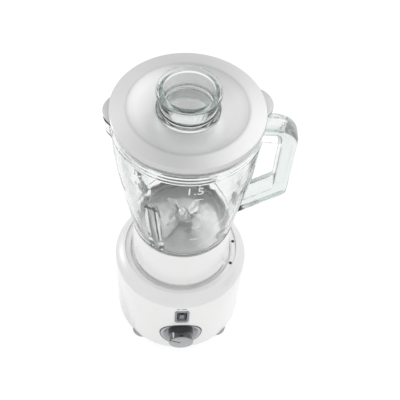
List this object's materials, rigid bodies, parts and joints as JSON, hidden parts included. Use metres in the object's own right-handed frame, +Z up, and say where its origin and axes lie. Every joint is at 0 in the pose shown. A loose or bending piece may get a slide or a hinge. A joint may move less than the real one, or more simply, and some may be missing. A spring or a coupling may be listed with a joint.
{
  "type": "countertop blender",
  "caption": "Countertop blender: round motor base with speed knob and pulse button, twist-lock glass jug with handle and spout, spinning blades, lift-off lid and measuring cup.",
  "frame": {"origin": "on the blade axis, in the plane the feet stand on", "axes": "+Z up along the blade axis, -Y toward the knob, the jug handle near +X"},
  "size_m": [0.1927, 0.1745, 0.4006],
  "materials": {
    "white_gloss": "gloss white",
    "silver_satin": "satin silver",
    "lid_satin": "satin silver grey",
    "bezel_grey": "satin grey",
    "frame_grey": "satin grey",
    "knob_grey": "gloss dark grey",
    "button_dark": "satin dark grey",
    "mark_black": "matt",
    "base_grey": "matt grey",
    "seat_grey": "satin grey",
    "foot_rubber": "matt grey",
    "black_rubber": "matt",
    "clear_seal": "satin",
    "jug_glass": "clear, faint green edge",
    "cup_glass": "clear, faint green edge",
    "dish_steel": "brushed",
    "blade_steel": "polished",
    "nut_chrome": "bright",
    "bearing_brass": "machined",
    "copper": "enamelled",
    "screw_steel": "zinc plated",
    "lamination": "varnished",
    "bracket_cast": "as cast",
    "carbon": "matt",
    "black_plastic": "satin",
    "slider_white": "satin",
    "coupling_black": "satin"
  },
  "bodies": {
    "base": {"motor_housing": "white_gloss", "bottom_cover": "base_grey", "rubber_feet": "foot_rubber", "cover_screws": "screw_steel", "top_cover": "silver_satin", "lock_marks": "mark_black", "jug_seat": "seat_grey", "seat_screws": "screw_steel", "interlock_switch": "black_plastic", "stator_core": "lamination", "field_coils": "copper", "upper_bracket": "bracket_cast", "lower_bracket": "bracket_cast", "upper_bearing": "bearing_brass", "lower_bearing": "bearing_brass", "motor_mounts": "black_rubber", "mount_screws": "screw_steel", "carbon_brushes": "carbon", "brush_holders": "bearing_brass", "shaft_seal": "black_rubber", "knob_bezel": "bezel_grey", "speed_switch": "black_plastic", "button_frame": "frame_grey", "pulse_switch": "black_plastic", "cord_inlet": "black_rubber"},
    "rotor": {"motor_shaft": "screw_steel", "rotor_core": "lamination", "commutator": "copper", "cooling_fan": "black_plastic", "drive_coupling": "coupling_black"},
    "knob": {"speed_knob": "knob_grey", "knob_spindle": "screw_steel"},
    "button": {"pulse_button": "button_dark"},
    "slider": {"interlock_slider": "slider_white"},
    "jug": {"glass_jug": "jug_glass", "jug_collar": "white_gloss", "jug_gasket": "clear_seal", "blade_dish": "dish_steel", "blade_bearing": "bearing_brass", "bearing_nut": "bearing_brass"},
    "blades": {"blade_shaft": "blade_steel", "lower_blade": "blade_steel", "upper_blade": "blade_steel", "blade_washer": "blade_steel", "blade_nut": "nut_chrome", "driven_coupling": "coupling_black"},
    "lid": {"lid": "lid_satin", "lid_gasket": "clear_seal"},
    "cup": {"measuring_cup": "cup_glass"}
  },
  "joints": [
    {"name": "speed_turn", "type": "hinge", "parent": "base", "child": "knob", "pos_m": [0, -0.08, 0.04485], "axis": [0, 1, 0], "range_deg": [0, 180]},
    {"name": "pulse_press", "type": "slide", "parent": "base", "child": "button", "axis": [0, 1, 0], "range_m": [0, 0.003], "stiffness_N_per_m": 300},
    {"name": "motor_spin", "type": "hinge", "parent": "base", "child": "rotor", "pos_m": [0, 0, 0.08], "axis": [0, 0, 1], "continuous": true},
    {"name": "jug_twist", "type": "hinge", "parent": "base", "child": "slider", "pos_m": [0, 0, 0.13], "axis": [0, 0, 1], "range_deg": [0, 28]},
    {"name": "jug_lift", "type": "slide", "parent": "slider", "child": "jug", "axis": [0, 0, 1], "range_m": [0, 0.12]},
    {"name": "blade_spin", "type": "hinge", "parent": "jug", "child": "blades", "pos_m": [0, 0, 0.18], "axis": [0, 0, 1], "continuous": true},
    {"name": "lid_lift", "type": "slide", "parent": "jug", "child": "lid", "axis": [0, 0, 1], "range_m": [0, 0.08]},
    {"name": "cup_lift", "type": "slide", "parent": "lid", "child": "cup", "axis": [0, 0, 1], "range_m": [0, 0.05]}
  ],
  "couplings": [
    {"joint": "blade_spin", "follows": "motor_spin", "ratio": 1}
  ]
}
